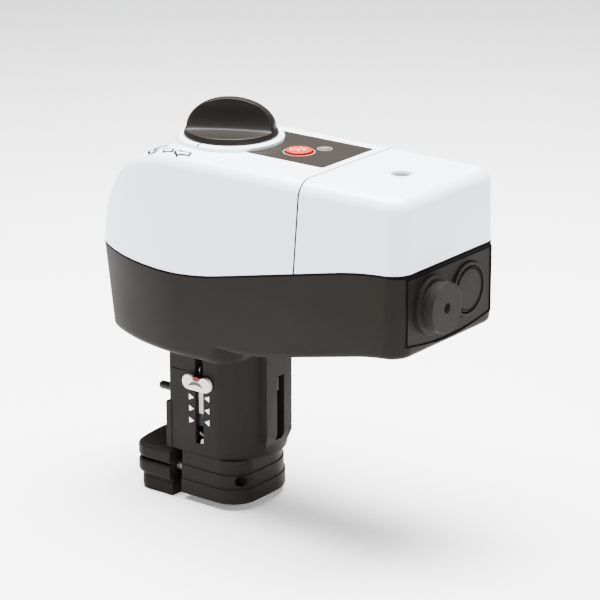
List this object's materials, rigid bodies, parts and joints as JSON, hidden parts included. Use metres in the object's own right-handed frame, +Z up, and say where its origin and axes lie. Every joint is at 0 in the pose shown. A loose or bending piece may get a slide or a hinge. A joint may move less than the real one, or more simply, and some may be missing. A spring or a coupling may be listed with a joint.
{
  "type": "electric valve actuator",
  "caption": "Electric valve actuator: light domed cover on a dark tray, hand knob, lift-off terminal cover, slotted neck with stroke pointer and a two-screw clamp.",
  "frame": {"origin": "on the stem axis at the underside of the clamp collar, where the valve's neck enters", "axes": "+Z up along the stem, towards the knob; +X towards the cable entries; -Y is the long side with the stroke slot"},
  "size_m": [0.2042, 0.0812, 0.203],
  "materials": {
    "housing_grey": "fine moulded grain, satin",
    "cover_white": "smooth glossy light grey-white moulding",
    "zinc_screw": "bright zinc",
    "label_dark": "satin printed film",
    "button_red": "glossy red",
    "lamp_clear": "frosted clear light pipe",
    "knob_dark": "satin dark moulding",
    "steel": "ground steel",
    "gear_nylon": "natural nylon",
    "brass": "turned brass",
    "motor_can": "drawn steel can",
    "chassis_steel": "pressed zinc-plated steel",
    "bush_black": "black acetal",
    "switch_black": "black moulding",
    "rubber_black": "soft dark rubber",
    "carriage_grey": "glass-filled nylon",
    "indicator_white": "off-white moulding",
    "indicator_grey": "grey moulding",
    "pointer_red": "red moulding",
    "coupling_steel": "turned steel",
    "neck_grey": "fine-textured dark grey-brown paint on a casting",
    "pin_grey": "grey moulded pin",
    "jaw_grey": "fine-textured dark grey-brown paint on a casting",
    "plate_grey": "fine moulded grain",
    "plug_grey": "fine moulded grain",
    "board_green": "solder resist",
    "terminal_green": "terminal moulding",
    "dip_blue": "switch moulding",
    "relay_black": "sealed relay case",
    "capacitor_black": "sleeved can"
  },
  "bodies": {
    "housing": {"base_housing": "housing_grey", "main_cover": "cover_white", "label_panel": "label_dark", "light_pipe": "lamp_clear", "idler_shaft": "steel", "motor": "motor_can", "motor_screws": "zinc_screw", "lower_plate": "chassis_steel", "upper_plate": "chassis_steel", "chassis_pillars": "brass", "chassis_screws": "zinc_screw", "lower_hub_bush": "bush_black", "upper_hub_bush": "bush_black", "limit_switch": "switch_black", "guide_bush": "brass", "spindle_wiper": "rubber_black", "neck": "neck_grey", "neck_screws": "zinc_screw", "lock_pin": "pin_grey", "cable_entry_plate": "plate_grey", "cable_grommet": "rubber_black", "knockout_plug": "plug_grey", "control_board": "board_green", "board_screws": "zinc_screw", "push_switch": "switch_black", "terminal_board": "board_green", "terminal_block": "terminal_green", "dip_switch": "dip_blue", "relay": "relay_black", "capacitor": "capacitor_black"},
    "terminal_lid": {"terminal_cover": "cover_white"},
    "lid_screw": {"terminal_cover_screw": "zinc_screw"},
    "hand_drive": {"knob": "knob_dark", "drive_shaft": "steel", "drive_gear": "gear_nylon"},
    "idler": {"idler_gear": "gear_nylon"},
    "motor_rotor": {"motor_pinion": "brass", "motor_shaft": "steel"},
    "stem": {"spindle": "steel", "carriage": "carriage_grey", "indicator_strip": "indicator_white", "indicator_tail": "indicator_grey", "pointer": "pointer_red", "position_clip": "indicator_white", "stem_coupling": "coupling_steel"},
    "push_button": {"button": "button_red"},
    "jaw": {"clamp_jaw": "jaw_grey"},
    "front_screw": {"front_clamp_screw": "zinc_screw"},
    "rear_screw": {"rear_clamp_screw": "zinc_screw"}
  },
  "joints": [
    {"name": "knob_turn", "type": "hinge", "parent": "housing", "child": "hand_drive", "pos_m": [0, 0, 0.14], "axis": [0, 0, 1], "range_deg": [0, 900.5]},
    {"name": "stem_travel", "type": "slide", "parent": "housing", "child": "stem", "axis": [0, 0, -1], "range_m": [0, 0.02]},
    {"name": "idler_spin", "type": "hinge", "parent": "housing", "child": "idler", "pos_m": [0.02819, -0.01026, 0.115], "axis": [0, 0, 1], "range_deg": [-3602, 0]},
    {"name": "motor_spin", "type": "hinge", "parent": "housing", "child": "motor_rotor", "pos_m": [0.04994, -0.00012, 0.115], "axis": [0, 0, 1], "range_deg": [0, 10806]},
    {"name": "button_press", "type": "slide", "parent": "housing", "child": "push_button", "axis": [0, 0, -1], "range_m": [0, 0.0008], "stiffness_N_per_m": 800, "springref_m": -0.0005},
    {"name": "lid_lift", "type": "slide", "parent": "housing", "child": "terminal_lid", "axis": [0.0593, 0, 0.9982], "range_m": [0, 0.04]},
    {"name": "lid_screw_turn", "type": "hinge", "parent": "terminal_lid", "child": "lid_screw", "pos_m": [0.1004, 0, 0.17], "axis": [0, 0, 1], "range_deg": [0, 1440]},
    {"name": "jaw_travel", "type": "slide", "parent": "housing", "child": "jaw", "axis": [-1, 0, 0], "range_m": [0, 0.003]},
    {"name": "front_screw_turn", "type": "hinge", "parent": "housing", "child": "front_screw", "pos_m": [0.0135, -0.0208, 0.0118], "axis": [1, 0, 0], "range_deg": [0, 1350.5]},
    {"name": "rear_screw_turn", "type": "hinge", "parent": "housing", "child": "rear_screw", "pos_m": [0.0025, 0.0208, 0.0118], "axis": [1, 0, 0], "range_deg": [0, 1350.5]}
  ],
  "couplings": [
    {"joint": "knob_turn", "follows": "stem_travel", "rad_per_m": 785.4},
    {"joint": "idler_spin", "follows": "stem_travel", "rad_per_m": -3141.6},
    {"joint": "motor_spin", "follows": "stem_travel", "rad_per_m": 9424.8},
    {"joint": "front_screw_turn", "follows": "jaw_travel", "rad_per_m": 7854},
    {"joint": "rear_screw_turn", "follows": "jaw_travel", "rad_per_m": 7854}
  ]
}
